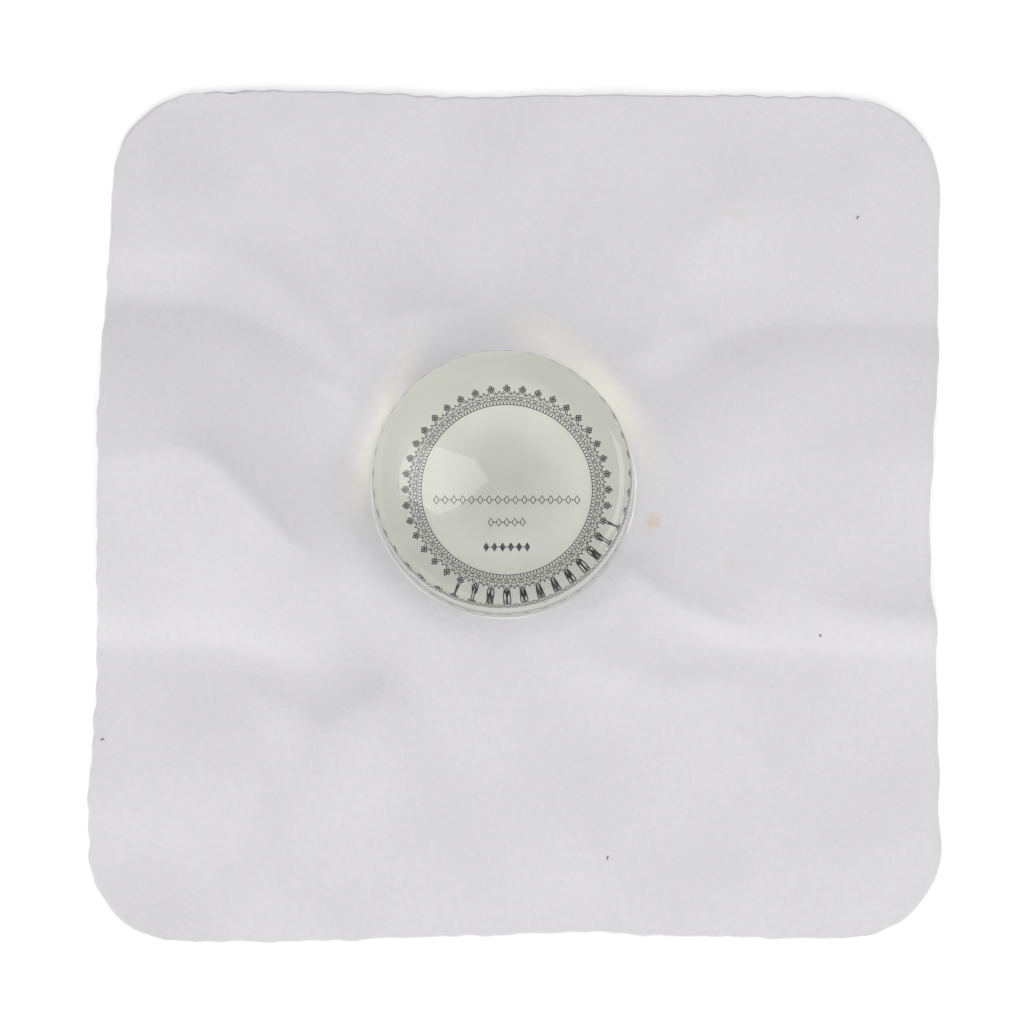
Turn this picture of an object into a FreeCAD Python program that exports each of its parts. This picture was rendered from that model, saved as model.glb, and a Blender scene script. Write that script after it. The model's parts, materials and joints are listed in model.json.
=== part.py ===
# Round rosin cake glued to its square wrapping cloth, for violin, viola and cello bows.
# Millimetres, +Z up. The origin is on the cake's axis, on the underside of the cloth.
# The cloth lies flat with its edges along X and Y. It folds up along two creases that run
# along X, one behind the cake (+Y) and one in front of it (-Y). Each flap bends twice: its
# riser stands up beside the cake, and its cover lies down over the top.
import FreeCAD, Part
import os

import Sketcher

SHEET = "Dimensions"
# Driving dimensions, in millimetres or degrees. Everything else is worked out from these.
DIMENSIONS = [
    ("cake_diameter", 40.3, "across the foot of the cast rosin"),
    ("cake_height", 11.0, "label to rubbing face"),
    ("cake_draft", 3.5, "degrees by which the side leans in, to leave its mould"),
    ("cake_edge_radius", 2.8, "round between rubbing face and side"),
    ("cake_foot_radius", 0.4, "small round at the foot of the side"),
    ("label_diameter", 36.0, "printed film under the rosin"),
    ("label_thickness", 0.1, "film and its ink"),
    ("label_offset_x", 0.5, "the label is stuck on by hand, off the cake's axis"),
    ("label_offset_y", -0.85, "the same, towards the front"),
    ("pad_diameter", 39.0, "glue under the label and a little beyond it"),
    ("pad_thickness", 0.15, "glue line"),
    ("cloth_width", 128.0, "along X"),
    ("cloth_depth", 128.0, "along Y"),
    ("cloth_thickness", 1.0, "brushed flannel, pressed flat"),
    ("cloth_corner_radius", 12.0, "all four corners"),
    ("cloth_offset_x", 1.7, "middle of the cloth, from the cake's axis"),
    ("cloth_offset_y", -4.4, "the same, towards the front"),
    ("crease_distance", 25.0, "cake's axis to the first bend of each flap"),
    ("back_riser_height", 12.6, "first bend to second bend of the back flap"),
    ("front_riser_height", 14.4, "the same in front, which wraps over the back flap"),
]

# Sketcher's own numbers for places on a sketch.
START, END, CENTRE = 1, 2, 3
SKETCH_ORIGIN = (-1, 1)
# Sizes a sketch is drawn at before its constraints are bound to the sheet.
DRAWN_LENGTH = 2
# Further from a blank's own XY plane or near edge than any edge that lies in it.
CLEAR = 0.5


def fill_sheet(doc):
    """Puts each driving dimension in a cell of its own, named by its alias."""
    sheet = doc.addObject("Spreadsheet::Sheet", SHEET)
    for row, (alias, value, note) in enumerate(DIMENSIONS, start=1):
        sheet.set(f"A{row}", alias.replace("_", " "))
        sheet.set(f"B{row}", str(value))
        sheet.setAlias(f"B{row}", alias)
        sheet.set(f"C{row}", note)
    doc.recompute()


def bound(text):
    """The expression text with every driving dimension in it read from the sheet."""
    names = {alias for alias, _, _ in DIMENSIONS}
    words = text.split()
    return " ".join(f"{SHEET}.{word}" if word in names else word for word in words)


def body_with_sketch(doc, label):
    """A new body and an empty sketch on its XY plane."""
    body = doc.addObject("PartDesign::Body", label)
    body.Label = label
    sketch = body.newObject("Sketcher::SketchObject", label + "_outline")
    planes = {plane.Role: plane for plane in body.Origin.OriginFeatures}
    sketch.AttachmentSupport = (planes["XY_Plane"], "")
    sketch.MapMode = "FlatFace"
    return body, sketch


def bind_size(sketch, kind, line, name, expression):
    """Adds a size constraint under a name and binds it to the sheet."""
    index = sketch.addConstraint(Sketcher.Constraint(kind, line, DRAWN_LENGTH))
    sketch.renameConstraint(index, name)
    sketch.setExpression("Constraints." + name, bound(expression))


def pad(body, sketch, thickness):
    """Pads the sketch upwards by the thickness expression."""
    feature = body.newObject("PartDesign::Pad", body.Label + "_pad")
    feature.Profile = sketch
    feature.setExpression("Length", bound(thickness))
    sketch.Visibility = False
    return feature


def place(body, x="0", y="0", z="0", turn=0):
    """Puts the body at x, y, z, turned about +Z by a number of degrees."""
    upright = FreeCAD.Vector(0, 0, 1)
    body.Placement = FreeCAD.Placement(FreeCAD.Vector(), FreeCAD.Rotation(upright, turn))
    for axis, expression in (("x", x), ("y", y), ("z", z)):
        body.setExpression("Placement.Base." + axis, bound(expression))


def disc(doc, label, diameter, thickness):
    """A round flat body on the XY plane, centred on its own axis."""
    body, sketch = body_with_sketch(doc, label)
    circle = Part.Circle(FreeCAD.Vector(), FreeCAD.Vector(0, 0, 1), DRAWN_LENGTH / 2)
    rim = sketch.addGeometry(circle)
    sketch.addConstraint(Sketcher.Constraint("Coincident", rim, CENTRE, *SKETCH_ORIGIN))
    bind_size(sketch, "Diameter", rim, "diameter", diameter)
    return body, pad(body, sketch, thickness)


def panel(doc, label, depth):
    """A rectangle of cloth, as wide as the cloth, with its near edge centred on the origin."""
    body, sketch = body_with_sketch(doc, label)
    half = DRAWN_LENGTH / 2
    corners = [(-half, 0), (half, 0), (half, DRAWN_LENGTH), (-half, DRAWN_LENGTH)]
    points = [FreeCAD.Vector(x, y, 0) for x, y in corners]
    for start, end in zip(points, points[1:] + points[:1]):
        sketch.addGeometry(Part.LineSegment(start, end))
    near, right, far, left = range(4)
    for a, b in ((near, right), (right, far), (far, left), (left, near)):
        sketch.addConstraint(Sketcher.Constraint("Coincident", a, END, b, START))
    for line in (near, far):
        sketch.addConstraint(Sketcher.Constraint("Horizontal", line))
    for line in (right, left):
        sketch.addConstraint(Sketcher.Constraint("Vertical", line))
    centred = Sketcher.Constraint("Symmetric", near, START, near, END, *SKETCH_ORIGIN)
    sketch.addConstraint(centred)
    bind_size(sketch, "Distance", near, "width", "cloth_width")
    bind_size(sketch, "Distance", right, "depth", depth)
    return body, pad(body, sketch, "cloth_thickness")


def round_edges(doc, body, feature, radius, wanted):
    """Fillets the feature's edges that wanted accepts, and returns the fillet."""
    doc.recompute()
    names = [f"Edge{i}" for i, e in enumerate(feature.Shape.Edges, start=1) if wanted(e)]
    fillet = body.newObject("PartDesign::Fillet", body.Label + "_" + radius)
    fillet.Base = (feature, names)
    fillet.setExpression("Radius", bound(radius))
    feature.Visibility = False
    return fillet


def rosin_cake(doc):
    """The cast rosin, with a generous round at the top and a small one at the foot."""
    body, blank = disc(doc, "rosin_cake", "cake_diameter", "cake_height")
    blank.setExpression("TaperAngle", bound("-1 * cake_draft"))

    def at_top(edge):
        return edge.BoundBox.ZMin > CLEAR

    def at_foot(edge):
        return edge.BoundBox.ZMax < CLEAR

    rounded = round_edges(doc, body, blank, "cake_edge_radius", at_top)
    round_edges(doc, body, rounded, "cake_foot_radius", at_foot)
    place(body, z="cloth_thickness + pad_thickness + label_thickness")
    return body


def label_disc(doc):
    """The printed film, stuck to the underside of the rosin."""
    body, _ = disc(doc, "label_disc", "label_diameter", "label_thickness")
    place(body, "label_offset_x", "label_offset_y", "cloth_thickness + pad_thickness")
    return body


def adhesive_pad(doc):
    """The round of glue that holds the label and rosin to the cloth."""
    body, _ = disc(doc, "adhesive_pad", "pad_diameter", "pad_thickness")
    place(body, z="cloth_thickness")
    return body


def cloth_centre(doc):
    """The strip of cloth between the two creases, which the cake stands on."""
    body, _ = panel(doc, "cloth_centre", "2 * crease_distance")
    place(body, "cloth_offset_x", "-1 * crease_distance")
    return body


def riser(doc, side, height, turn, outward):
    """The part of a flap that stands up beside the cake when the flap is folded."""
    body, _ = panel(doc, f"cloth_{side}_riser", height)
    place(body, "cloth_offset_x", f"{outward} * crease_distance", turn=turn)
    return body


def cover(doc, side, height, turn, outward):
    """The part of a flap that lies over the cake, with the cloth's two rounded corners."""
    reach = f"cloth_depth / 2 + {outward} * cloth_offset_y - crease_distance - {height}"
    body, blank = panel(doc, f"cloth_{side}_cover", reach)

    def at_outer_corner(edge):
        return edge.BoundBox.ZLength > CLEAR and edge.BoundBox.YMin > CLEAR

    round_edges(doc, body, blank, "cloth_corner_radius", at_outer_corner)
    start = f"{outward} * ( crease_distance + {height} )"
    place(body, "cloth_offset_x", start, turn=turn)
    return body


def flap(doc, side, height, turn, outward):
    """One folding side of the cloth, as a riser and a cover."""
    return [make(doc, side, height, turn, outward) for make in (riser, cover)]


def check(doc, pieces):
    """Stops before anything is written if an object failed or a shape isn't one good solid."""
    for item in doc.Objects:
        if {"Invalid", "Error"} & set(item.State):
            raise RuntimeError(f"{item.Label} failed: {item.State}")
    for piece in pieces:
        shape = piece.Shape
        if shape.isNull() or not shape.isValid() or len(shape.Solids) != 1:
            raise RuntimeError(f"{piece.Label} isn't one valid solid")


def main():
    doc = FreeCAD.newDocument("rosin_cake_on_cloth")
    fill_sheet(doc)
    pieces = [rosin_cake(doc), label_disc(doc), adhesive_pad(doc), cloth_centre(doc)]
    pieces += flap(doc, "back", "back_riser_height", turn=0, outward=1)
    pieces += flap(doc, "front", "front_riser_height", turn=180, outward=-1)
    doc.recompute()
    check(doc, pieces)
    os.makedirs("parts", exist_ok=True)
    for piece in pieces:
        piece.Shape.exportStep(os.path.join("parts", piece.Label + ".step"))


main()
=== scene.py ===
"""The looks of a round rosin cake on its wrapping cloth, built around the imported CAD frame.

Lengths are millimetres in the row frame until add_piece turns them into metres.
"""

import json
import math

import bpy
import numpy as np
from mathutils import Matrix, Vector

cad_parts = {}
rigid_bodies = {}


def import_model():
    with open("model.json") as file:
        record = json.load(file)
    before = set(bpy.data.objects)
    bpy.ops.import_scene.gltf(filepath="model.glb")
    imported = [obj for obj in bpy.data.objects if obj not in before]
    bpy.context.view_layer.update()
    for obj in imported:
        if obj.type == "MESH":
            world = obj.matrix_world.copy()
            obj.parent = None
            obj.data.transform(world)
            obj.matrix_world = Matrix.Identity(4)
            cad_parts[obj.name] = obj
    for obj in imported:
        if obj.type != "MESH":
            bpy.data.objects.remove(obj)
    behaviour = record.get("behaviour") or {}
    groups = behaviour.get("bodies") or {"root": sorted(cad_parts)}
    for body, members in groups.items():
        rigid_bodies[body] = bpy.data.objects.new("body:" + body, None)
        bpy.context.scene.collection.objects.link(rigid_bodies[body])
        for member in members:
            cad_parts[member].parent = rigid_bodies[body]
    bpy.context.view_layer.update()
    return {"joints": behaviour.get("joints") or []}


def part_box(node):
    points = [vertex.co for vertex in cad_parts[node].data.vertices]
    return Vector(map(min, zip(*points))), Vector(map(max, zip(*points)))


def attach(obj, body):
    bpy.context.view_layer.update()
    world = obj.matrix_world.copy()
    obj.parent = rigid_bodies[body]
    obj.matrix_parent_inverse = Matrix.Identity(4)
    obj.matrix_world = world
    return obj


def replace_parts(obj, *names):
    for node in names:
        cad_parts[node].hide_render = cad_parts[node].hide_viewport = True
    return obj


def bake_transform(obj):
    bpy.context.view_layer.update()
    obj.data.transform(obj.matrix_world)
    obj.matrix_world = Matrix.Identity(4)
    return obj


MM = 0.001
TAU = 2 * math.pi

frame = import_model()
hinges = {joint["name"]: joint for joint in frame["joints"]}


def box_mm(node):
    """Lowest and highest corner of a CAD node, in millimetres."""
    return [np.array(corner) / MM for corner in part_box(node)]


def hinge_y(joint):
    """Where a fold line crosses the Y axis, in millimetres."""
    return hinges[joint]["pos_m"][1] / MM


# ---------------------------------------------------------------- places from the frame
cake_low, cake_high = box_mm("rosin_cake")
label_low, label_high = box_mm("label_disc")
pad_low, pad_high = box_mm("adhesive_pad")
back_low, back_high = box_mm("cloth_back_cover")
front_low, _ = box_mm("cloth_front_cover")

CAKE_RADIUS = (cake_high[0] - cake_low[0]) / 2
LABEL_CENTRE = (label_low + label_high)[:2] / 2
LABEL_RADIUS = (label_high[0] - label_low[0]) / 2
PAD_CENTRE = (pad_low + pad_high)[:2] / 2
PAD_RADIUS = (pad_high[0] - pad_low[0]) / 2
CLOTH_LEFT, CLOTH_RIGHT = back_low[0], back_high[0]
CLOTH_FRONT, CLOTH_BACK = front_low[1], back_high[1]
CLOTH_THICK = back_high[2]

# ---------------------------------------------------------------- sizes the CAD leaves out
CAKE_SHOULDER_ROUND = 4.3  # the round edge starts gently, up to CAKE_SHOULDER_TURN degrees
CAKE_SHOULDER_TURN = 25
CAKE_EDGE_ROUND = 1.5  # and then turns tightly down to the side
CAKE_FOOT_ROUND = 0.25
CAKE_DRAFT = 3.5  # degrees by which the side leans in towards the top
CAKE_SKEW = (-0.2, 0.25)  # how far the top sits off the foot's centre
LABEL_SUNK = 0.03  # the film is wetted by the rosin, so it sits a hair inside it
INK_THICK = 0.008
LABEL_TURNS, GLUE_TURNS = 180, 160  # points round the film and round the glue
GLUE_SPREAD = 0.45  # how far the glue has crept out past the CAD's
GLUE_UNEVEN = 0.06  # how much that varies round the cake
GLUE_FILLET = 0.35  # and how far more it spreads on the cloth, around the foot of the rosin
GLUE_INNER = 0.9  # where the glue's innermost ring lies under the label, as a share of its radius
GLUE_GAP = 0.02  # between the glue and the label, so that no two faces lie in one place
GLUE_LAP = 0.01  # how far the glue beside the label laps it, so that no dark gap is seen
GLUE_STEP = 0.002  # and how far its top lies below the label's

CORNER_ROUND = 13.6
EDGE_BULGE = 0.28  # how far the cut edge of the cloth rounds outwards
SIDE_ANGLES = [60, 30, 0, -30, -60]  # degrees round the bulge of each side edge
SIDE_POINTS = len(SIDE_ANGLES)
END_ANGLES = [35, 65]  # the same for the front and back edges
CLOTH_STEP = 0.6  # spacing of the cloth's mesh
CORNER_ROWS = 25  # rows of the mesh in each rounded corner
CLOTH_SHARP, PRINT_SHARP = 60, 40  # degrees beyond which an edge is left sharp
FOLD_BEND = 3.0  # length of cloth that takes up each fold
SEAM_BEFORE_FOLD = 0.5  # the cloth's pieces meet this far inside each crease

# ---------------------------------------------------------------- mesh helpers


def add_piece(name, points, faces, material):
    """A smooth mesh object from points in millimetres, which it also keeps as attribute rest."""
    points = np.asarray(points, float)
    mesh = bpy.data.meshes.new(name)
    mesh.from_pydata((points * MM).tolist(), [], faces)
    mesh.polygons.foreach_set("use_smooth", [True] * len(mesh.polygons))
    rest = mesh.attributes.new("rest", "FLOAT_VECTOR", "POINT")
    rest.data.foreach_set("vector", points.astype(np.float32).ravel())
    mesh.materials.append(material)
    piece = bpy.data.objects.new(name, mesh)
    bpy.context.scene.collection.objects.link(piece)
    return piece


def sharpen(mesh, angle):
    """Marks edges that bend more than the angle, in degrees, so they aren't smoothed over."""
    mesh.set_sharp_from_angle(angle=math.radians(angle))


def merge(shapes):
    """One list of points and one of faces, from many."""
    points, faces, count = [], [], 0
    for shape_points, shape_faces in shapes:
        points.append(np.asarray(shape_points, float))
        faces += [tuple(i + count for i in face) for face in shape_faces]
        count += len(shape_points)
    return np.concatenate(points), faces


def loft(rings, closed_ends=True):
    """Joins rings of equal length, each seen anticlockwise from the first ring's outside."""
    size = len(rings[0])
    faces = []
    for i in range(len(rings) - 1):
        for j in range(size):
            k = (j + 1) % size
            a, b = i * size, (i + 1) * size
            faces.append((a + j, b + j, b + k, a + k))
    if closed_ends:
        last = (len(rings) - 1) * size
        faces.append(tuple(range(size)))
        faces.append(tuple(last + j for j in reversed(range(size))))
    return np.concatenate(rings), faces


def lathe(profile, turns, warp=None):
    """A closed solid of revolution. The profile runs down from the axis and back to it."""
    angles = np.arange(turns) * TAU / turns
    rings = []
    for radius, height in profile[1:-1]:
        x, y = radius * np.cos(angles), radius * np.sin(angles)
        rings.append(np.stack([x, y, np.full(turns, height)], 1))
    points, faces = loft(rings, closed_ends=False)
    top, bottom = len(points), len(points) + 1
    poles = [(0, 0, profile[0][1]), (0, 0, profile[-1][1])]
    points = np.concatenate([points, poles])
    last = (len(rings) - 1) * turns
    for j in range(turns):
        k = (j + 1) % turns
        faces.append((top, j, k))
        faces.append((bottom, last + k, last + j))
    return (points if warp is None else warp(points)), faces


def ribbon(path, width, low, high, closed=False):
    """A flat closed band along a path of (x, y), between two heights."""
    path = np.asarray(path, float)
    if closed:
        ahead, behind = np.roll(path, -1, 0), np.roll(path, 1, 0)
    else:
        ahead = np.vstack([path[1:], path[-1]])
        behind = np.vstack([path[0], path[:-1]])
    along = ahead - behind
    along /= np.linalg.norm(along, axis=1)[:, None]
    aside = np.stack([-along[:, 1], along[:, 0]], 1) * width / 2
    stations = []
    for point, off in zip(path, aside):
        left, right = point + off, point - off
        stations.append([(*right, low), (*right, high), (*left, high), (*left, low)])
    rings = [np.array(s) for s in stations]
    if closed:
        return loft(rings + rings[:1], closed_ends=False)
    return loft(rings)


def prism(outline, low, high):
    """A flat solid with the given outline of (x, y), anticlockwise from above."""
    outline = np.asarray(outline, float)
    top = np.column_stack([outline, np.full(len(outline), high)])
    bottom = np.column_stack([outline, np.full(len(outline), low)])
    return loft([top, bottom])


def round_outline(centre, radius, sides=12):
    """The points of a circle, or of an ellipse if radius is a pair."""
    angles = np.arange(sides) * TAU / sides
    wide, tall = (radius, radius) if np.isscalar(radius) else radius
    return np.stack([centre[0] + wide * np.cos(angles), centre[1] + tall * np.sin(angles)], 1)


def smoothstep(low, high, value):
    """0 below low, 1 above high, and a smooth climb between them."""
    t = np.clip((value - low) / (high - low), 0, 1)
    return t * t * (3 - 2 * t)


def ripple(seed, count, wavelengths):
    """A smooth random height over (x, y), of about unit size, that repeats for a seed."""
    rng = np.random.default_rng(seed)
    lengths = rng.uniform(*wavelengths, count)
    headings = rng.uniform(0, TAU, count)
    phases = rng.uniform(0, TAU, count)

    def height(x, y):
        total = 0
        for length, heading, phase in zip(lengths, headings, phases):
            along = x * math.cos(heading) + y * math.sin(heading)
            total = total + np.sin(along * TAU / length + phase)
        return total / math.sqrt(count / 2)

    return height


# ---------------------------------------------------------------- the cloth's shape
# How far each cut edge strays outwards from the CAD's straight one, as (place along the
# edge, distance). The cloth was cut by hand and has been folded, so no side is straight.
EDGE_STRAY = {
    "left": [(-51, 0.2), (-26, -0.9), (10, -0.9), (22, -1.3), (32, -2.1), (47, -2.8)],
    "right": [(-51, 0.1), (-23, -0.3), (-14, -1.0), (-4, -1.3), (5, -0.5), (22, 0.4), (47, 0.75)],
    "front": [(-49, 0.5), (-31, 0.5), (-10, -0.2), (12, -0.9), (27, -0.3), (42, 0.0), (55, 0.0)],
    "back": [(-50, 0.9), (-31, 1.05), (-19, 0.75), (-7, 0.0), (18, 0.45), (33, 0.35), (48, 0.0)],
}
edge_wander = {side: ripple(seed, 7, (3, 11)) for seed, side in enumerate(EDGE_STRAY, start=20)}
EDGE_WANDER = 0.09


def stray(side, along):
    """How far the cut edge lies outside the CAD's, at a place along it."""
    places, offsets = zip(*EDGE_STRAY[side])
    index = np.interp(along, places, range(len(places)))
    whole = np.minimum(index.astype(int), len(places) - 2)
    blend = smoothstep(0, 1, index - whole)
    offsets = np.array(offsets)
    smooth = offsets[whole] * (1 - blend) + offsets[whole + 1] * blend
    return smooth + EDGE_WANDER * edge_wander[side](along, 0)


def corner_inset(distance):
    """How far the side draws in for a rounded corner, at a distance from the cloth's end."""
    inside = np.clip(CORNER_ROUND - distance, 0, CORNER_ROUND)
    return CORNER_ROUND - np.sqrt(CORNER_ROUND**2 - inside**2)


def eased_path(path, rounds=3):
    """The path with its corners cut, over and over, so that it runs smoothly."""
    path = np.asarray(path, float)
    for _ in range(rounds):
        near = 0.75 * path[:-1] + 0.25 * path[1:]
        far = 0.25 * path[:-1] + 0.75 * path[1:]
        middle = np.stack([near, far], 1).reshape(-1, 2)
        path = np.vstack([path[:1], middle[1:-1], path[-1:]])
    return path


def place_on_path(x, y, path):
    """Distance from a path, which side of it (+1 on its left), and how far along it (0 to 1)."""
    best = np.full(x.shape, np.inf)
    side = np.ones(x.shape)
    share = np.zeros(x.shape)
    lengths = np.linalg.norm(np.diff(path, axis=0), axis=1)
    start = 0.0
    for (ax, ay), (bx, by), length in zip(path[:-1], path[1:], lengths):
        ux, uy = (bx - ax) / length, (by - ay) / length
        along = np.clip((x - ax) * ux + (y - ay) * uy, 0, length)
        across = (y - ay) * ux - (x - ax) * uy
        distance = np.hypot(x - ax - along * ux, y - ay - along * uy)
        nearer = distance < best
        best = np.where(nearer, distance, best)
        side = np.where(nearer, np.sign(across), side)
        share = np.where(nearer, (start + along) / lengths.sum(), share)
        start += length
    return best, side, share


CREASE_SOFTNESS = 0.5  # roundness of a crease's line, as a share of its spread
CREASE_FADE = 0.3  # share of a crease's length over which each end fades out


def crease(x, y, path, height, left, right):
    """A soft fold along a path: a ridge, or a valley if height is negative.

    left and right are how far it spreads on each side."""
    distance, side, share = place_on_path(x, y, eased_path(path))
    spread = np.where(side > 0, left, right)
    ends = smoothstep(0, CREASE_FADE, share) * smoothstep(0, CREASE_FADE, 1 - share)
    reach = distance / spread
    across = np.sqrt(reach**2 + CREASE_SOFTNESS**2) - CREASE_SOFTNESS
    return height * np.exp(-across) * ends


PILLOW_SOFTNESS = 1.2  # roundness of the creases on both sides of a swell
PILLOW_STEP = 5.0  # how far from a crease its step reaches
PILLOW_CREST = 0.05  # roundness of the crest, as a share of the swell's height
LINE_EASING = (-4, -2, 0, 2, 4)  # places along X that a line's height is averaged over


def soft_line(x, points):
    """The Y of a line across the cloth at each X, with its corners eased."""
    places, heights = zip(*points)
    eased = [np.interp(x + shift, places, heights) for shift in LINE_EASING]
    return sum(eased) / len(eased)


def pillow(x, y, upper, crest, lower, fade, height, lower_step, upper_step):
    """A swell across the cloth between two creases, which fades out towards the cake.

    Each step is the share of the height gained in the first few millimetres from that crease."""
    top, peak, foot = (soft_line(x, line) for line in (upper, crest, lower))

    def climb(distance, whole, step):
        inside = (distance + np.sqrt(distance**2 + PILLOW_SOFTNESS**2)) / 2
        return step * np.tanh(inside / PILLOW_STEP) + (1 - step) * inside / whole

    front = climb(y - foot, peak - foot, lower_step)
    back = climb(top - y, top - peak, upper_step)
    rise = (front + back - np.sqrt((front - back) ** 2 + PILLOW_CREST**2)) / 2
    return height * rise * smoothstep(*fade, x)


# The folds left by wrapping the cake: path, height, spread to its left and to its right.
CREASES = [
    ([(-43, -30.5), (-36, -32.5), (-27.5, -37.5), (-20.5, -34), (-13, -30)], 0.9, 4.4, 7.0),
    ([(-52, 5.5), (-46, 6.2), (-38.5, -2), (-33, -8), (-28, -13)], 0.28, 1.8, 2.5),
    ([(-39, -34), (-36.5, -46), (-33, -70)], 0.3, 2.0, 4.5),
    ([(-29.5, -34), (-28.2, -46), (-28.6, -78)], 0.55, 4.0, 2.2),
    ([(-36, 48), (-28, 43), (-24, 36), (-23, 22)], 0.25, 2.2, 4.0),
    ([(-44, 38), (-35, 31.5), (-28, 25), (-19, 14)], 0.34, 3.0, 3.0),
    ([(-32, 18.5), (-26, 15.5), (-20, 11), (-15, 7)], 0.26, 2.4, 1.6),
    ([(-24, 22), (-16, 26.5), (-2, 28)], 0.4, 3.0, 3.0),
    ([(15, 19), (23, 20.5), (32, 28)], 0.5, 4.0, 2.5),
    ([(25.5, 7), (24.5, 20), (28, 26.5), (42, 29)], -0.3, 2.4, 2.2),
    ([(20, 20), (25, 33), (42, 50)], 0.3, 4.5, 2.4),
    ([(54, 54), (52.8, 38), (52, 24)], 0.3, 1.6, 2.0),
    ([(14.5, -48), (14, -62), (15, -82)], 0.3, 1.8, 2.0),
    ([(33, -52), (33.5, -82)], 0.2, 1.8, 1.8),
    ([(10, -7), (20, -13.5), (28, -19.5), (42, -23.5)], 0.6, 2.4, 4.0),
    ([(8, -24), (18, -28.5), (25, -31), (42, -28)], 0.5, 3.2, 5.0),
    ([(40, -16), (56, -20.5), (84, -22.5)], 0.45, 2.6, 5.0),
    ([(28, -24), (40, -42), (54, -66)], 0.3, 4.5, 7.0),
    ([(-78, 35), (-55, 36.5), (-40, 36)], 0.4, 5.0, 4.0),
    ([(-60, 48), (-50, 44), (-42, 43), (-30, 46)], 0.2, 5.0, 5.0),
    ([(-16, 36), (4, 39), (22, 43)], 0.4, 8.0, 5.0),
    ([(-78, -47), (-52, -48.5), (-42, -57), (-32, -84)], 0.4, 7.0, 4.5),
]

LEFT_PILLOW = {
    "upper": [(-66, 28.6), (-50, 28.4), (-43, 27.9), (-37.7, 25.4), (-31.4, 21.8), (-21, 13)],
    "crest": [(-66, 3.5), (-53, 5), (-46, 6.0), (-38.5, -2.3), (-33, -8), (-29, -11)],
    "lower": [(-66, -24.3), (-45, -24.6), (-38.5, -25.5), (-28, -28.5), (-22, -24)],
    "fade": (-22, -38),
    "height": 2.4,
    "lower_step": 0.36,
    "upper_step": 0.24,
}
RIGHT_PILLOW = {
    "upper": [(25.5, 15.5), (29.5, 20.3), (32.5, 23), (40, 24.5), (48, 25.2), (68, 24.4)],
    "crest": [(24, -4), (34, 2), (45, 4), (68, 6)],
    "lower": [(20, -15.5), (26, -20.5), (31, -24.5), (45, -25.5), (68, -26)],
    "fade": (21, 34),
    "height": 1.3,
    "lower_step": 0.6,
    "upper_step": 0.42,
}
slow_ripple = ripple(3, 24, (16, 40))
quick_ripple = ripple(4, 40, (4, 12))
SLOW_RIPPLE, QUICK_RIPPLE = 0.12, 0.008
PUCKER = 0.25  # how far the cloth stands up just outside the glue
PUCKER_REACH = 5.0
REST_LIFT = 0.25  # how far the loose cloth stands off the table
SETTLED = 0.12  # softness with which it meets the table
GLUED_FADE = (-2, 4.5)  # distances from the cake's side between which the cloth comes loose


def relief(x, y):
    """How far the cloth stands off the table, in millimetres."""
    lift = REST_LIFT + pillow(x, y, **LEFT_PILLOW) + pillow(x, y, **RIGHT_PILLOW)
    for path, height, near, far in CREASES:
        lift = lift + crease(x, y, path, height, near, far)
    lift = lift + SLOW_RIPPLE * slow_ripple(x, y) + QUICK_RIPPLE * quick_ripple(x, y)
    from_cake = np.hypot(x, y) - CAKE_RADIUS
    lift = lift + PUCKER * np.exp(-np.clip(from_cake - 1, 0, None) / PUCKER_REACH)
    lift = (lift + np.sqrt(lift**2 + SETTLED**2)) / 2
    return lift * smoothstep(*GLUED_FADE, from_cake)


def cloth_rows():
    """The Y of each row of the cloth's mesh, closer together where the corners turn."""
    turn = CORNER_ROUND * (1 - np.cos(np.linspace(0, TAU / 4, CORNER_ROWS)))
    straight = np.arange(CLOTH_FRONT + CORNER_ROUND, CLOTH_BACK - CORNER_ROUND, CLOTH_STEP)
    return np.unique(np.round(np.concatenate([CLOTH_FRONT + turn, straight, CLOTH_BACK - turn]), 4))


def cloth_ring(y, columns):
    """One closed ring of the cloth across its width: the top, one side, underneath, the other."""
    inset = corner_inset(min(y - CLOTH_FRONT, CLOTH_BACK - y))
    left = CLOTH_LEFT - stray("left", np.array([y]))[0] + inset
    right = CLOTH_RIGHT + stray("right", np.array([y]))[0] - inset
    x = np.linspace(left, right, columns)
    row = np.full(columns, y)
    near_back = smoothstep(hinge_y("back_cover_fold") + FOLD_BEND, CLOTH_BACK, row)
    near_front = smoothstep(hinge_y("front_cover_fold") - FOLD_BEND, CLOTH_FRONT, row)
    row = row + stray("back", x) * near_back - stray("front", x) * near_front
    under = relief(x, row)
    top = np.stack([x, row, under + CLOTH_THICK], 1)
    bottom = np.stack([x, row, under], 1)
    side_angles = np.radians(SIDE_ANGLES)
    half = np.array([0, 0, CLOTH_THICK / 2])
    outward = np.array([EDGE_BULGE, 0, 0])

    def side(end, sign):
        middle = (top[end] + bottom[end]) / 2
        turns = side_angles if sign > 0 else side_angles[::-1]
        return [middle + sign * outward * math.cos(a) + half * math.sin(a) for a in turns]

    return np.concatenate([top, side(-1, 1), bottom[::-1], side(0, -1)])


def cut_end(ring, towards):
    """Two more rings that round off the cloth's front or back edge."""
    rings = []
    middle = ring[:, 2].copy()
    columns = len(ring) // 2 - SIDE_POINTS
    under = slice(columns + SIDE_POINTS, 2 * columns + SIDE_POINTS)
    centre = (ring[:columns, 2] + ring[under, 2][::-1]) / 2
    middle[:columns] = centre
    middle[under] = centre[::-1]
    middle[columns : under.start] = centre[-1]
    middle[under.stop :] = centre[0]
    for angle in END_ANGLES:
        rounded = ring.copy()
        rounded[:, 1] += towards * EDGE_BULGE * math.sin(math.radians(angle))
        rounded[:, 2] = middle + (ring[:, 2] - middle) * math.cos(math.radians(angle))
        rings.append(rounded)
    return rings


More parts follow.
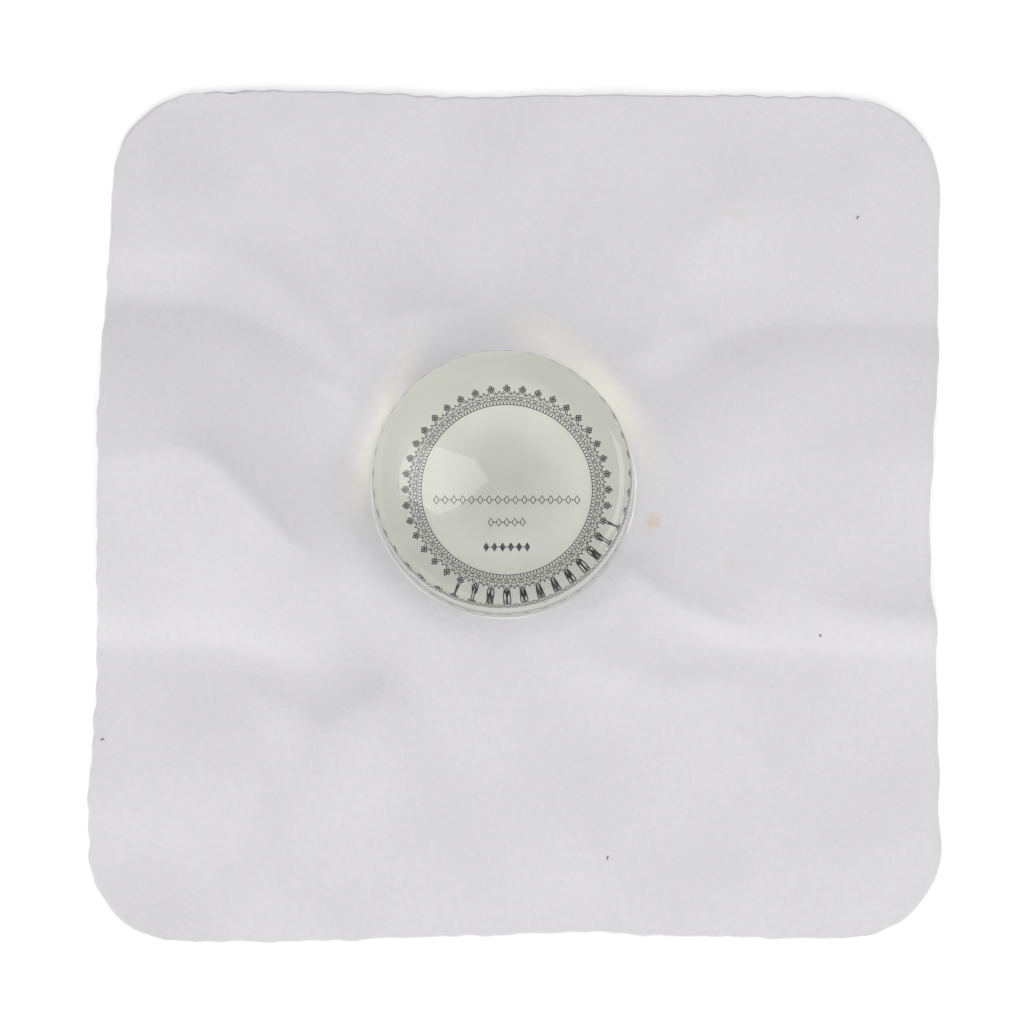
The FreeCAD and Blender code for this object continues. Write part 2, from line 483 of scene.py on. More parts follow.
def cap_faces(first, columns, reverse):
    """Quads that close a ring of the cloth's section, starting at vertex first."""
    size = 2 * (columns + SIDE_POINTS)
    under_end = 2 * columns + SIDE_POINTS
    top = range(columns)
    bottom = [under_end - 1 - i for i in range(columns)]
    faces = [(top[i], top[i + 1], bottom[i + 1], bottom[i]) for i in range(columns - 1)]
    faces.append((top[-1], *range(columns, columns + SIDE_POINTS), bottom[-1]))
    faces.append((bottom[0], *range(under_end, size), top[0]))
    faces = [tuple(first + i for i in face) for face in faces]
    return [face[::-1] for face in faces] if reverse else faces


def cloth_piece(name, low, high, material):
    """The cloth from one Y to another, as a closed solid."""
    columns = int((CLOTH_RIGHT - CLOTH_LEFT) / CLOTH_STEP)
    rows = cloth_rows()
    inside = rows[(rows > low + 0.1) & (rows < high - 0.1)]
    rings = [cloth_ring(y, columns) for y in [low, *inside, high]]
    if low == CLOTH_FRONT:
        rings = cut_end(rings[0], -1)[::-1] + rings
    if high == CLOTH_BACK:
        rings = rings + cut_end(rings[-1], 1)
    points, faces = loft(rings, closed_ends=False)
    size = len(rings[0])
    faces = [face[::-1] for face in faces]  # seen from the front, these rings run clockwise
    faces += cap_faces(0, columns, reverse=True)
    faces += cap_faces((len(rings) - 1) * size, columns, reverse=False)
    piece = add_piece(name, points, faces, material)
    sharpen(piece.data, CLOTH_SHARP)
    return piece


# ---------------------------------------------------------------- the rosin's shape
CAKE_TURNS = 288  # points round the cake
BUBBLES = 12
BUBBLE_SIZES = (0.05, 0.13)
BUBBLE_REACH = 17  # how far from the axis they lie
# Shallow knocks in the upper edge: turn from +X, depth, width in degrees.
NICKS = [(212, 0.10, 2.2), (228, 0.14, 1.6), (243, 0.09, 2.8), (118, 0.06, 2.4), (20, 0.05, 3.0)]
face_ripple = ripple(11, 9, (9, 24))
wall_ripple = ripple(12, 7, (5, 16))
FACE_RIPPLE, WALL_RIPPLE = 0.004, 0.02
FACE_FADE = 1.5  # depth below the top over which the face's ripples die out
WALL_FADE_IN, WALL_FADE_DOWN = 3, 2  # the same for the side, inwards and down to the foot
NICK_HEIGHTS = (6, 11)  # heights between which the nicks deepen


def cake_profile():
    """(radius, height) from the middle of the top, over the round edge, to under the foot."""
    top, foot = cake_high[2], cake_low[2]
    lean = math.radians(CAKE_DRAFT)
    shoulder, last = math.radians(CAKE_SHOULDER_TURN), TAU / 4 - lean
    arcs = [
        (CAKE_SHOULDER_ROUND, np.linspace(0, shoulder, 11)[1:]),
        (CAKE_EDGE_ROUND, np.linspace(shoulder, last, 17)[1:]),
    ]
    edge, turned_to = [(0.0, 0.0)], 0.0
    for radius, angles in arcs:
        out, down = edge[-1]
        for angle in angles:
            away = radius * (math.sin(angle) - math.sin(turned_to))
            drop = radius * (math.cos(turned_to) - math.cos(angle))
            edge.append((out + away, down + drop))
        turned_to = angles[-1]
    edge_out, edge_down = edge[-1]
    edge_low = top - edge_down
    flat = CAKE_RADIUS - (edge_low - foot) * math.tan(lean) - edge_out
    profile = [(r, top) for r in np.linspace(0, flat, 18)[:-1]]
    profile += [(flat + out, top - down) for out, down in edge]
    for height in np.linspace(edge_low, foot + CAKE_FOOT_ROUND, 8)[1:]:
        profile.append((CAKE_RADIUS - (height - foot) * math.tan(lean), height))
    wall_foot = profile[-1][0]
    for angle in np.linspace(0, TAU / 4, 6)[1:]:
        out, down = CAKE_FOOT_ROUND * math.cos(angle), CAKE_FOOT_ROUND * math.sin(angle)
        profile.append((wall_foot - CAKE_FOOT_ROUND + out, foot + CAKE_FOOT_ROUND - down))
    profile += [(r, foot) for r in np.linspace(wall_foot - CAKE_FOOT_ROUND, 0, 10)[1:]]
    return profile


def cast_surface(points):
    """The small unevenness of a poured disc: a rippled face, a wavy side and a few nicks."""
    x, y, z = points.T.copy()
    radius, angle = np.hypot(x, y), np.degrees(np.arctan2(y, x)) % 360
    face = smoothstep(cake_high[2] - FACE_FADE, cake_high[2], z)
    side = smoothstep(CAKE_RADIUS - WALL_FADE_IN, CAKE_RADIUS, radius)
    side *= smoothstep(cake_low[2], cake_low[2] + WALL_FADE_DOWN, z)
    z += FACE_RIPPLE * face_ripple(x, y) * face
    whole = np.cos(np.radians(angle * 3)) + np.sin(np.radians(angle * 5 + 40))
    push = WALL_RIPPLE * (0.5 * whole + 0.25 * wall_ripple(z, 0)) * side
    for place, depth, width in NICKS:
        apart = (angle - place + 180) % 360 - 180
        push -= depth * np.exp(-((apart / width) ** 2)) * side * smoothstep(*NICK_HEIGHTS, z)
    scale = np.where(radius > 0, (radius + push) / np.maximum(radius, 1e-6), 1)
    risen = (z - cake_low[2]) / (cake_high[2] - cake_low[2])
    skewed = [along * scale + skew * risen for along, skew in zip((x, y), CAKE_SKEW)]
    return np.stack([*skewed, z], 1)


def bubble_shapes():
    """Tiny round holes left in the rosin by the pour. Their faces point inwards."""
    rng = np.random.default_rng(7)
    shapes = []
    for _ in range(BUBBLES):
        size = rng.uniform(*BUBBLE_SIZES)
        reach, turn = BUBBLE_REACH * math.sqrt(rng.uniform(0.02, 1)), rng.uniform(0, TAU)
        height = rng.uniform(cake_low[2] + 1.5, cake_high[2] - 2)
        down = np.linspace(0, TAU / 2, 8)
        profile = [(size * math.sin(a), size * math.cos(a)) for a in down]
        points, faces = lathe(profile, 12)
        points += (reach * math.cos(turn), reach * math.sin(turn), height)
        shapes.append((points, [face[::-1] for face in faces]))
    return shapes


# ---------------------------------------------------------------- the print on the label
LACE_REPEATS = 40
LACE_PITCH = TAU / LACE_REPEATS
LACE_INNER, LACE_BAND = 12.95, 13.68  # the two plain rings
BUD_RADIUS = 15.42  # the middle of each bud, the outermost motif
THIN, LINE, BOLD = 0.09, 0.115, 0.175


def on_ring(share, radius):
    """(x, y) at a share of one repeat's width either side of its middle, and a radius."""
    angle = np.asarray(share) * LACE_PITCH
    return np.stack([radius * np.sin(angle), radius * np.cos(angle)], -1)


def lace_strokes():
    """The lines of one repeat, as (path, width, closed).

    Places are shares of the repeat's width from its middle, and radii in millimetres."""
    t = np.linspace(0, 1, 9)
    arch = np.linspace(TAU / 2, 0, 9)
    strokes = []
    for middle in (-0.375, -0.125, 0.125, 0.375):
        path = on_ring(middle + 0.115 * np.cos(arch), LACE_INNER + 0.62 * np.sin(arch))
        strokes.append((path, THIN, False))
    for middle in (0, 0.5):
        strokes.append((round_outline(on_ring(middle, 14.02), (0.30, 0.24), 10), LINE, True))
    for side in (-1, 1):
        strokes.append((round_outline(on_ring(side * 0.25, 14.3), (0.2, 0.3), 10), THIN, True))
        strokes.append((round_outline(on_ring(side * 0.11, BUD_RADIUS), (0.23, 0.17), 8), BOLD, True))
        sweep = on_ring(side * (0.13 + 0.37 * t), 15.22 - 0.42 * np.sin(t * TAU / 2) - 0.3 * t)
        strokes.append((sweep, LINE, False))
        strokes.append((on_ring(side * 0.22 * t, 15.02 - 0.5 * t), LINE, False))
        strokes.append((on_ring(side * (0.5 - 0.2 * t), 14.9 - 0.45 * t), THIN, False))
    for rise in (-0.25, 0.27):
        petal = round_outline(on_ring(0, BUD_RADIUS + rise), (0.17, 0.22), 8)
        strokes.append((petal, BOLD, True))
    return strokes


def lace_dots():
    """The filled dots of one repeat, as (place, radius)."""
    return [
        (on_ring(0, BUD_RADIUS), 0.13),
        (on_ring(0, 14.02), 0.10),
        (on_ring(0.5, 14.95), 0.13),
        (on_ring(0.5, 14.5), 0.08),
        (on_ring(0, 14.62), 0.08),
    ]


def turned(shape, angle, centre):
    """A shape turned about the label's axis and moved to its centre."""
    points, faces = shape
    c, s = math.cos(angle), math.sin(angle)
    x = points[:, 0] * c - points[:, 1] * s + centre[0]
    y = points[:, 0] * s + points[:, 1] * c + centre[1]
    return np.stack([x, y, points[:, 2]], 1), faces


def lace_shapes(low, high):
    """The whole border: a motif repeated round the label, between plain rings."""
    motif = [ribbon(path, width, low, high, closed) for path, width, closed in lace_strokes()]
    motif += [prism(round_outline(place, size, 8), low, high) for place, size in lace_dots()]
    motif = merge(motif)
    shapes = [turned(motif, i * LACE_PITCH, LABEL_CENTRE) for i in range(LACE_REPEATS)]
    for radius, width in ((LACE_INNER, LINE), (LACE_BAND, THIN)):
        circle = round_outline(LABEL_CENTRE, radius, 240)
        shapes.append(ribbon(circle, width, low, high, closed=True))
    return shapes


def lozenge(centre, wide, tall):
    """The corners of an upright lozenge, anticlockwise."""
    x, y = centre
    return [(x + wide / 2, y), (x, y + tall / 2), (x - wide / 2, y), (x, y - tall / 2)]


ORNAMENT_LINE, ORNAMENT_DOT = 0.17, 0.12  # width of an open lozenge's line, radius of a dot
LOZENGE_SHAPE = 0.62  # width of a lozenge, as a share of its height
# Rows of plain ornament across the label: middle Y from its centre, width, count, height.
ORNAMENT_ROWS = [
    {"y": -1.55, "width": 21.3, "count": 17, "tall": 1.3, "filled": False},
    {"y": -4.95, "width": 4.8, "count": 5, "tall": 1.25, "filled": False},
    {"y": -8.7, "width": 6.2, "count": 6, "tall": 1.45, "filled": True},
]


def ornament_shapes(low, high):
    """Rows of small lozenges with a dot between each pair."""
    shapes = []
    for row in ORNAMENT_ROWS:
        y = LABEL_CENTRE[1] + row["y"]
        places = LABEL_CENTRE[0] + np.linspace(-0.5, 0.5, row["count"]) * row["width"]
        for x in places:
            outer = lozenge((x, y), row["tall"] * LOZENGE_SHAPE, row["tall"])
            if row["filled"]:
                shapes.append(prism(outer, low, high))
            else:
                shapes.append(ribbon(outer, ORNAMENT_LINE, low, high, closed=True))
        for x in (places[1:] + places[:-1]) / 2:
            shapes.append(prism(round_outline((x, y), ORNAMENT_DOT, 8), low, high))
    return shapes


# ---------------------------------------------------------------- materials


class Nodes:
    """A material's node tree, with short calls for the nodes used here."""

    def __init__(self, name):
        self.material = bpy.data.materials.new(name)
        self.material.use_nodes = True
        self.tree = self.material.node_tree
        self.tree.nodes.clear()
        self.output = self.tree.nodes.new("ShaderNodeOutputMaterial")

    def add(self, kind, settings=None, **inputs):
        """A node with its properties set, and its inputs set or linked by name."""
        node = self.tree.nodes.new("ShaderNode" + kind)
        for key, value in (settings or {}).items():
            setattr(node, key, value)
        for key, value in inputs.items():
            self.put(node.inputs[key.replace("_", " ")], value)
        return node

    def put(self, socket, value):
        """Links a socket to another node's, or sets its value."""
        if isinstance(value, bpy.types.NodeSocket):
            self.tree.links.new(value, socket)
        elif isinstance(value, tuple) and len(value) == 3 and socket.type == "RGBA":
            socket.default_value = (*value, 1)
        else:
            socket.default_value = value

    def rest(self):
        """The place in the row frame at rest, in millimetres, whatever the pose."""
        return self.add("Attribute", {"attribute_name": "rest"}).outputs["Vector"]

    def flat_distance(self, x, y):
        """Distance in millimetres from (x, y), seen from above."""
        flat = self.add("VectorMath", {"operation": "MULTIPLY"})
        self.put(flat.inputs[0], self.rest())
        flat.inputs[1].default_value = (1, 1, 0)
        gap = self.add("VectorMath", {"operation": "DISTANCE"})
        self.put(gap.inputs[0], flat.outputs[0])
        gap.inputs[1].default_value = (x, y, 0)
        return gap.outputs["Value"]

    def noise(self, size, vector=None, detail=2.0, roughness=0.5):
        """Noise from 0 to 1 whose features are about size millimetres across."""
        vector = self.rest() if vector is None else vector
        node = self.add("TexNoise", Vector=vector, Scale=1 / size, Detail=detail, Roughness=roughness)
        return node.outputs["Fac"]

    def plus(self, a, b, clamp=False):
        """Two values added, and held between 0 and 1 if clamp is set."""
        node = self.add("Math", {"operation": "ADD", "use_clamp": clamp})
        self.put(node.inputs[0], a)
        self.put(node.inputs[1], b)
        return node.outputs[0]

    def mix(self, factor, a, b):
        """Two colours mixed by a factor."""
        node = self.add("Mix", {"data_type": "RGBA"})
        self.put(node.inputs[0], factor)
        self.put(node.inputs[6], a)
        self.put(node.inputs[7], b)
        return node.outputs[2]

    def ramp(self, value, low, high, to_low=0.0, to_high=1.0):
        """Maps a value from one range to another, held at its ends."""
        node = self.add("MapRange", {"interpolation_type": "SMOOTHSTEP"}, Value=value)
        for index, limit in enumerate((low, high, to_low, to_high), start=1):
            node.inputs[index].default_value = limit
        return node.outputs[0]

    def bump(self, height, distance, normal=None):
        """A bump whose height input of 1 stands for distance, in millimetres."""
        node = self.add("Bump", Height=height, Distance=distance * MM, Strength=1.0)
        if normal is not None:
            self.put(node.inputs["Normal"], normal)
        return node.outputs["Normal"]

    def finish(self, surface):
        """Makes a shader the material's surface, and gives back the material."""
        self.tree.links.new(surface, self.output.inputs["Surface"])
        return self.material


FLANNEL = (0.546, 0.536, 0.552)
FLANNEL_SHADE = (0.528, 0.520, 0.537)
STAIN = (0.50, 0.40, 0.29)
# Faint tan marks on the cloth: x, y, radius, strength.
STAINS = [
    (22.7, -5.3, 1.5, 0.55),
    (21.8, -6.6, 1.6, 0.18),
    (34.4, -12.0, 1.4, 0.16),
    (36.0, 41.7, 1.6, 0.14),
    (54.9, -15.0, 1.2, 0.14),
    (35.8, -47.6, 0.9, 0.16),
    (-44.0, -7.0, 0.8, 0.12),
]


def stain_mask(nodes):
    """How strongly the cloth is stained, from 0 to 1, with uneven edges."""
    ragged = nodes.ramp(nodes.noise(0.7, detail=3.0), 0.3, 0.7, -0.25, 0.25)
    total = 0.0
    for x, y, radius, strength in STAINS:
        uneven = nodes.plus(nodes.flat_distance(x, y), ragged)
        mark = nodes.ramp(uneven, radius * 0.3, radius, strength, 0.0)
        total = nodes.plus(total, mark, clamp=True)
    return total


def flannel_material():
    """White brushed cotton: a short soft nap over a faint weave, with a few tan marks."""
    nodes = Nodes("brushed_flannel")
    stretched = nodes.add("VectorMath", {"operation": "MULTIPLY"})
    nodes.put(stretched.inputs[0], nodes.rest())
    stretched.inputs[1].default_value = (1.0, 0.45, 1.0)
    fibres = nodes.noise(0.34, stretched.outputs[0], detail=3.0, roughness=0.65)
    tufts = nodes.noise(1.1, detail=2.0)
    clouds = nodes.noise(9.0, detail=3.0)
    colour = nodes.mix(nodes.ramp(tufts, 0.3, 0.7), FLANNEL_SHADE, FLANNEL)
    colour = nodes.mix(nodes.ramp(clouds, 0.35, 0.7, 0.0, 0.25), colour, FLANNEL_SHADE)
    dark_fibres = nodes.ramp(fibres, 0.28, 0.55, 0.10, 0.0)
    colour = nodes.mix(dark_fibres, colour, (0.40, 0.39, 0.41))
    colour = nodes.mix(stain_mask(nodes), colour, STAIN)
    normal = nodes.bump(tufts, 0.05)
    normal = nodes.bump(fibres, 0.035, normal=normal)
    surface = nodes.add(
        "BsdfPrincipled",
        Base_Color=colour,
        Roughness=0.95,
        Specular_IOR_Level=0.15,
        Sheen_Weight=0.15,
        Sheen_Roughness=0.6,
        Normal=normal,
    )
    return nodes.finish(surface.outputs[0])


def rosin_material():
    """Clear cast rosin, faintly yellow-green, polished apart from a trace of handling."""
    nodes = Nodes("clear_rosin")
    smear = nodes.noise(6.0, detail=4.0, roughness=0.6)
    roughness = nodes.ramp(smear, 0.45, 0.8, 0.012, 0.03)
    surface = nodes.add(
        "BsdfPrincipled",
        Base_Color=(0.985, 0.990, 0.962),
        Roughness=roughness,
        IOR=1.53,
        Transmission_Weight=1.0,
    )
    return nodes.finish(surface.outputs[0])


# Painted light on the film and the glue: their tone is darkest at this place in front of the cake's
# middle and brightens towards the rim and the back.
PAINTED_SHADE_PLACE = (0, -5)
PAINTED_LIGHT_REACH = (5, 21)  # where the painted light starts to brighten the backing, and where it is brightest


def backing_with_painted_light(nodes, dark, light):
    """A mottled pale tone with painted light: it brightens away from a place in front of the cake's
    middle.
    """
    outer = nodes.ramp(nodes.flat_distance(*PAINTED_SHADE_PLACE), *PAINTED_LIGHT_REACH)
    mottle = nodes.ramp(nodes.noise(3.5, detail=4.0), 0.3, 0.7, 0.0, 0.15)
    return nodes.mix(nodes.plus(outer, mottle, clamp=True), dark, light)


def film_material():
    """The label's film, with the glue and cloth behind it showing as one pale tone, and painted light
    that brightens it towards the rim and the back.
    """
    nodes = Nodes("label_film")
    # Painted light: the first colour is the painted shade in front of the middle, and the second the
    # painted brightness towards the rim and the back.
    colour = backing_with_painted_light(nodes, (0.615, 0.617, 0.580), (0.800, 0.803, 0.753))
    surface = nodes.add("BsdfPrincipled", Base_Color=colour, Roughness=0.6, Specular_IOR_Level=0.1)
    return nodes.finish(surface.outputs[0])


def ink_material():
    """Blue-black printing ink, thinner in places."""
    nodes = Nodes("printing_ink")
    worn = nodes.ramp(nodes.noise(0.5, detail=3.0), 0.4, 0.75)
    colour = nodes.mix(worn, (0.030, 0.034, 0.050), (0.10, 0.105, 0.13))
    surface = nodes.add("BsdfPrincipled", Base_Color=colour, Roughness=0.5, Specular_IOR_Level=0.2)
    return nodes.finish(surface.outputs[0])


def glue_material():
    """Dried pale glue, slightly yellow and cloudy, with painted light that brightens it away from the
    front.
    """
    nodes = Nodes("dried_glue")
    # Painted light: the second colour is the painted brightness away from the front.
    colour = backing_with_painted_light(nodes, (0.730, 0.736, 0.687), (0.820, 0.826, 0.771))
    surface = nodes.add("BsdfPrincipled", Base_Color=colour, Roughness=0.5, Specular_IOR_Level=0.1)
    return nodes.finish(surface.outputs[0])


def lint_material():
    """Dark dust fibres, lighter in places."""
    nodes = Nodes("dark_lint")
    shade = nodes.ramp(nodes.noise(0.3), 0.3, 0.7)
    colour = nodes.mix(shade, (0.05, 0.045, 0.04), (0.12, 0.10, 0.09))
    surface = nodes.add("BsdfPrincipled", Base_Color=colour, Roughness=0.8)
    return nodes.finish(surface.outputs[0])


def table_material():
    """A plain white studio table, with a trace of grain."""
    nodes = Nodes("white_table")
    place = nodes.add("TexCoord").outputs["Object"]
    grain = nodes.ramp(nodes.noise(0.05, place, detail=2.0), 0.3, 0.7)
    colour = nodes.mix(grain, (0.93, 0.93, 0.93), (0.95, 0.95, 0.95))
    surface = nodes.add(
        "BsdfPrincipled",
        Base_Color=colour,
        Roughness=0.9,
        Specular_IOR_Level=0.0,
        Emission_Color=(1, 1, 1),
        Emission_Strength=0.1,
    )
    return nodes.finish(surface.outputs[0])


# ---------------------------------------------------------------- pieces


def make_cloth():
    """The flannel in five pieces, which meet inside the creases and half way up the risers."""
    flannel = flannel_material()
    middle_low = hinge_y("front_fold") + SEAM_BEFORE_FOLD
    middle_high = hinge_y("back_fold") - SEAM_BEFORE_FOLD
    middle = cloth_piece("cloth_middle", middle_low, middle_high, flannel)
    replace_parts(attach(middle, "base"), "cloth_centre")
    for side, outward, edge in (("back", 1, CLOTH_BACK), ("front", -1, CLOTH_FRONT)):
        fold, knee = hinge_y(f"{side}_fold"), hinge_y(f"{side}_cover_fold")
        half_way = (fold + FOLD_BEND * outward + knee) / 2
        seam = fold - SEAM_BEFORE_FOLD * outward
        inner = cloth_piece(f"cloth_{side}_rise", *sorted((seam, half_way)), flannel)
        outer = cloth_piece(f"cloth_{side}_flap", *sorted((half_way, edge)), flannel)
        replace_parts(inner, f"cloth_{side}_riser")
        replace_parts(outer, f"cloth_{side}_cover")
        bend_over(inner)
        bend_over(outer)


def bend_over(piece):
    """Bakes a piece of cloth's placement into its mesh; nothing bends it or joins it to a body."""
    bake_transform(piece)


def make_cake():
    """The cast rosin with its small bubbles."""
    cast = lathe(cake_profile(), CAKE_TURNS, cast_surface)
    points, faces = merge([cast] + bubble_shapes())
    cake = add_piece("rosin_cast", points, faces, rosin_material())
    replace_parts(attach(cake, "base"), "rosin_cake")


def make_label():
    """The film and the ink on it, both wetted by the rosin above them."""
    film_top = label_high[2] + LABEL_SUNK
    outline = round_outline(LABEL_CENTRE, LABEL_RADIUS, LABEL_TURNS)
    film = add_piece("label_film", *prism(outline, label_low[2], film_top), film_material())
    sharpen(film.data, PRINT_SHARP)
    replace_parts(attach(film, "base"), "label_disc")
    ink = ink_material()
    layer = (film_top - INK_THICK / 4, film_top + INK_THICK)
    for name, shapes in (("label_lace", lace_shapes), ("label_ornament", ornament_shapes)):
        printed = add_piece(name, *merge(shapes(*layer)), ink)
        sharpen(printed.data, PRINT_SHARP)
        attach(printed, "base")


def make_glue():
    """The squeezed-out film of glue, which also fills the step beside the label's edge."""
    turns = np.arange(GLUE_TURNS) * TAU / GLUE_TURNS
    radius = PAD_RADIUS + GLUE_SPREAD + GLUE_UNEVEN * ripple(31, 6, (0.6, 2.5))(turns, 0)
    inner = round_outline(LABEL_CENTRE, LABEL_RADIUS - GLUE_LAP, GLUE_TURNS)
    outer = np.stack([radius * np.cos(turns), radius * np.sin(turns)], 1) + PAD_CENTRE
    low, middle = pad_low[2], pad_high[2] - GLUE_GAP
    high = label_high[2] + LABEL_SUNK - GLUE_STEP
    spread = outer * (1 + GLUE_FILLET / PAD_RADIUS)
    levels = [
        (inner * GLUE_INNER, middle),
        (inner, middle),
        (inner, high),
        (outer, high),
        (spread, low + GLUE_GAP),
        (spread, low),
    ]
    rings = [np.column_stack([ring, np.full(GLUE_TURNS, z)]) for ring, z in levels]
    points, faces = loft(rings)
    glue = add_piece("glue_film", points, faces, glue_material())
    sharpen(glue.data, PRINT_SHARP)
    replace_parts(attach(glue, "base"), "adhesive_pad")


LINT_WIDTH, LINT_SUNK, LINT_THICK = 0.13, 0.02, 0.12
LINT_BOW = 0.25  # how far a fibre bows aside, as a share of its length
# Dust fibres caught in the nap: x, y, length, heading in degrees, body.
LINT = [
    (54.2, 41.2, 0.5, 60, "back_cover"),
    (-60.7, -38.6, 0.55, 20, "front_riser"),
    (15.8, -56.4, 0.5, 75, "front_cover"),
    (48.1, -22.8, 0.4, 100, "base"),
]


def make_lint():
    """Short dark fibres lying on the cloth."""
    material = lint_material()
    for number, (x, y, length, heading, body) in enumerate(LINT, start=1):
        along = np.linspace(-0.5, 0.5, 6) * length
        bow = LINT_BOW * length * (1 - (2 * along / length) ** 2)
        c, s = math.cos(math.radians(heading)), math.sin(math.radians(heading))
        path = np.stack([x + along * c - bow * s, y + along * s + bow * c], 1)
        low = relief(np.array([x]), np.array([y]))[0] + CLOTH_THICK - LINT_SUNK
        shape = ribbon(path, LINT_WIDTH, low, low + LINT_THICK)
        fibre = add_piece(f"lint_{number}", *shape, material)
        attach(fibre, body)


# ---------------------------------------------------------------- studio
CAMERA_TARGET = (1.3, -3.9, CLOTH_THICK)
CAMERA_DISTANCE = 700
CAMERA_TILT = 4.8  # degrees from straight down, towards the front
CAMERA_VIEW = 12.7  # degrees across the picture
SENSOR = 36


def camera_place():
    """Where the camera stands, in millimetres."""
    tilt = math.radians(CAMERA_TILT)
    away = Vector((0, -math.sin(tilt), math.cos(tilt)))
    return Vector(CAMERA_TARGET) + away * CAMERA_DISTANCE


def make_camera():
    """The camera, which looks almost straight down."""
    data = bpy.data.cameras.new("camera")
    data.sensor_width = SENSOR
    data.lens = SENSOR / 2 / math.tan(math.radians(CAMERA_VIEW / 2))
    data.clip_start, data.clip_end = 0.01, 10
    camera = bpy.data.objects.new("camera", data)
    camera.location = camera_place() * MM
    camera.rotation_euler = (math.radians(CAMERA_TILT), 0, 0)
    bpy.context.scene.collection.objects.link(camera)
    bpy.context.scene.camera = camera


def direction(turn, height):
    """The direction at turn degrees from +X and height degrees above the table."""
    turn, height = math.radians(turn), math.radians(height)
    flat = math.cos(height)
    return Vector((math.cos(turn) * flat, math.sin(turn) * flat, math.sin(height)))


def aim(light, away, heading):
    """Points a light back along away, with its own X axis towards a heading in degrees."""
    level = Vector((math.cos(math.radians(heading)), math.sin(math.radians(heading)), 0))
    across = (level - away * level.dot(away)).normalized()
    light.rotation_euler = Matrix((across, away.cross(across), away)).transposed().to_euler()


def soft_box(name, turn, height, distance, size, brightness):
    """A rectangular light that faces the cake, with its first side level.

    turn is degrees from +X, height is degrees above the table, and brightness is what the
    light looks like in a mirror, where 1 is display white."""
    data = bpy.data.lights.new(name, "AREA")
    data.shape = "RECTANGLE"
    data.size, data.size_y = size[0] * MM, size[1] * MM
    data.energy = brightness * math.pi * data.size * data.size_y
    light = bpy.data.objects.new(name, data)
    away = direction(turn, height)
    light.location = away * distance * MM
    aim(light, away, turn + 90)
    bpy.context.scene.collection.objects.link(light)
    return light


GLOW_DISTANCE, GLOW_HEIGHT = 400, 14  # millimetres from the rim, degrees above the table
GLOW_SOURCE = 2  # radius of each lamp
GLOW_COLOUR = (1.0, 1.0, 0.5)
# Each long pool of light beside the rim: turn from +X, how far outside the rim, half its
# width, and energy.
GLOWS = [
    (28, 0.5, 1.1, 2.6),
    (40, 0.6, 1.1, 3.7),
    (52, 0.8, 1.1, 4.4),
    (159, 0.4, 1.0, 7.5),
]


def rim_glow(name, turn, outside, reach, energy):
    """A small warm pool of light along the cake's rim, like the light a lens of rosin gathers.

    It comes low from behind the cake and along the rim, so the pool is long and narrow."""
    data = bpy.data.lights.new(name, "SPOT")
    data.color = GLOW_COLOUR
    data.energy = energy
    data.spot_size = 2 * math.atan(reach / GLOW_DISTANCE)
    data.spot_blend = 1.0
    data.shadow_soft_size = GLOW_SOURCE * MM
    light = bpy.data.objects.new(name, data)
    rim = direction(turn, 0) * (CAKE_RADIUS + outside)
    rim.z = CLOTH_THICK
    heading = turn + 90 if turn < 90 else turn - 90
    away = direction(heading, GLOW_HEIGHT)
    light.location = (rim + away * GLOW_DISTANCE) * MM
    aim(light, away, heading + 90)
    bpy.context.scene.collection.objects.link(light)
    return light


def leave_out_cake(light):
    """Keeps the cake out of a light: it is neither lit by it nor casts a shadow in it."""
    others = bpy.data.collections.new(light.name + "_lights")
    for piece in bpy.data.objects:
        if piece.type == "MESH" and not piece.name.startswith(("rosin", "label", "glue")):
            others.objects.link(piece)
    light.light_linking.receiver_collection = others
    light.light_linking.blocker_collection = others


# Corners, on the cake's face, of the reflection of a card that hangs beside the camera.
GLINT = [(-14.7, 3.3), (-9.0, 3.5), (-3.6, 3.6), (-1.9, 0.4), (-10.8, -6.6), (-14.8, -1.8)]
GLINT_BRIGHTNESS = 3.2


def make_card():
    """The bright card whose reflection is seen in the cake's flat face."""
    eye = camera_place()
    corners = []
    for x, y in GLINT:
        spot = Vector((x, y, cake_high[2]))
        onward = spot - eye
        onward.z = -onward.z
        corners.append(spot + onward)
    nodes = Nodes("bright_card")
    glow = nodes.add("Emission", Color=(1, 1, 1), Strength=GLINT_BRIGHTNESS)
    card = add_piece("card", corners, [tuple(range(len(corners)))], nodes.finish(glow.outputs[0]))
    card.visible_camera = False


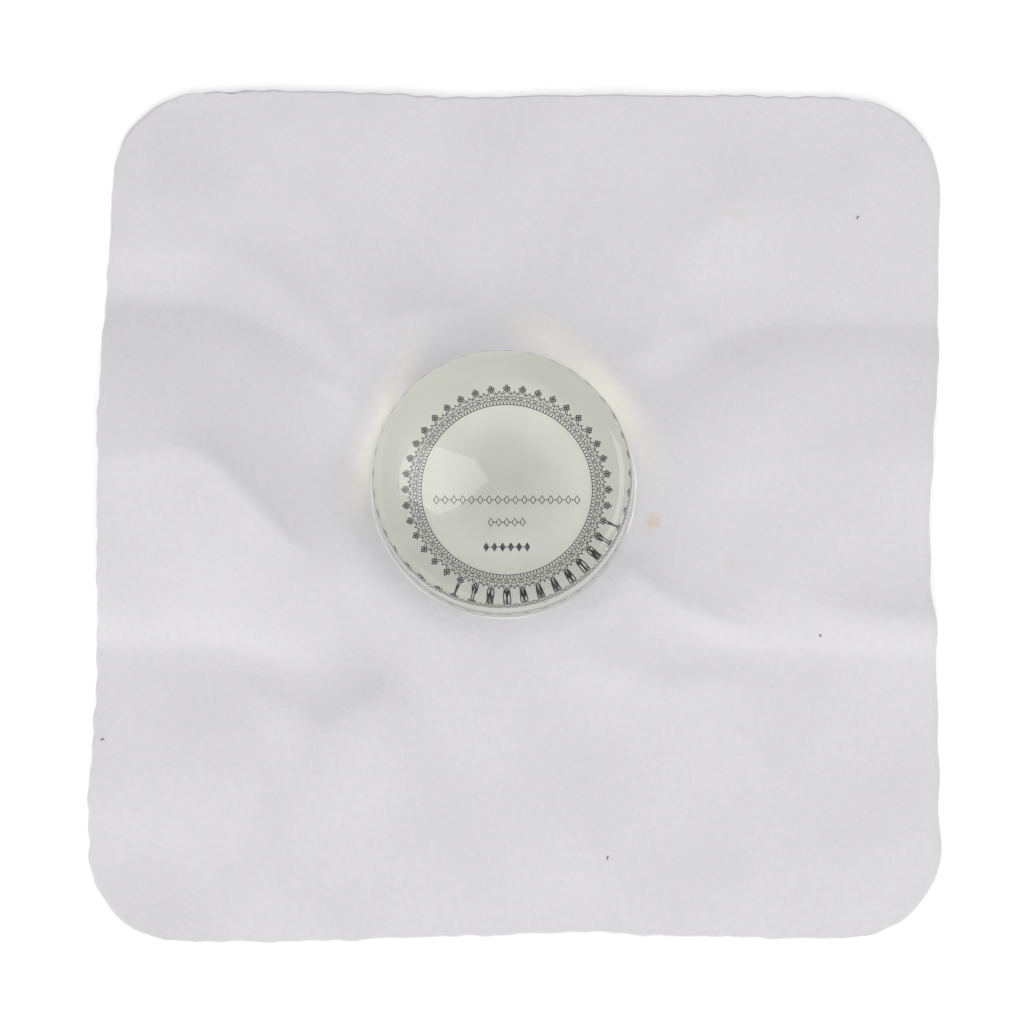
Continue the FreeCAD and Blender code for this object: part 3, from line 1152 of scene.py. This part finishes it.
def make_lights():
    """The soft boxes and the rim's glows. The front strip, the low box on the left and the glows skip
    the cake.
    """
    leave_out_cake(soft_box("front_strip", 262, 21, 3000, (3000, 866), 7.2))
    leave_out_cake(soft_box("left_low_box", 228, 14, 1500, (833, 433), 3.5))
    soft_box("right_low_box", -25, 14, 1500, (833, 433), 3.5)
    soft_box("right_box", 3, 58, 900, (460, 320), 2.5)
    soft_box("left_box", 185, 40, 900, (900, 500), 0.55)
    soft_box("front_box", 265, 52, 1500, (1667, 833), 0.85)
    for number, glow in enumerate(GLOWS, start=1):
        leave_out_cake(rim_glow(f"glow_{number}", *glow))


LIGHT_FROM_WORLD, BACKDROP = 0.73, 1.0


def make_world():
    """Even white surroundings, which the camera sees as a plain white backdrop."""
    world = bpy.data.worlds.new("studio")
    world.use_nodes = True
    tree = world.node_tree
    tree.nodes.clear()
    output = tree.nodes.new("ShaderNodeOutputWorld")
    path = tree.nodes.new("ShaderNodeLightPath")
    mix = tree.nodes.new("ShaderNodeMixShader")
    for index, brightness in enumerate((LIGHT_FROM_WORLD, BACKDROP), start=1):
        background = tree.nodes.new("ShaderNodeBackground")
        background.inputs["Color"].default_value = (1, 1, 1, 1)
        background.inputs["Strength"].default_value = brightness
        tree.links.new(background.outputs[0], mix.inputs[index])
    tree.links.new(path.outputs["Is Camera Ray"], mix.inputs[0])
    tree.links.new(mix.outputs[0], output.inputs["Surface"])
    bpy.context.scene.world = world


TABLE_REACH = 2500
TABLE_GAP = 0.15  # how far the table lies below the cloth, so that they never touch


def make_table():
    """A square of table, much wider than the picture."""
    corners = [(-1, -1), (1, -1), (1, 1), (-1, 1)]
    points = [(x * TABLE_REACH, y * TABLE_REACH, -TABLE_GAP) for x, y in corners]
    add_piece("table", points, [(0, 1, 2, 3)], table_material())


bpy.context.scene.view_settings.view_transform = "Standard"
bpy.context.scene.cycles.blur_glossy = 0
bpy.context.scene.cycles.use_light_tree = False  # it over-brightens lights that leave out pieces
make_cloth()
make_cake()
make_label()
make_glue()
make_lint()
make_table()
make_camera()
make_card()
make_lights()
make_world()
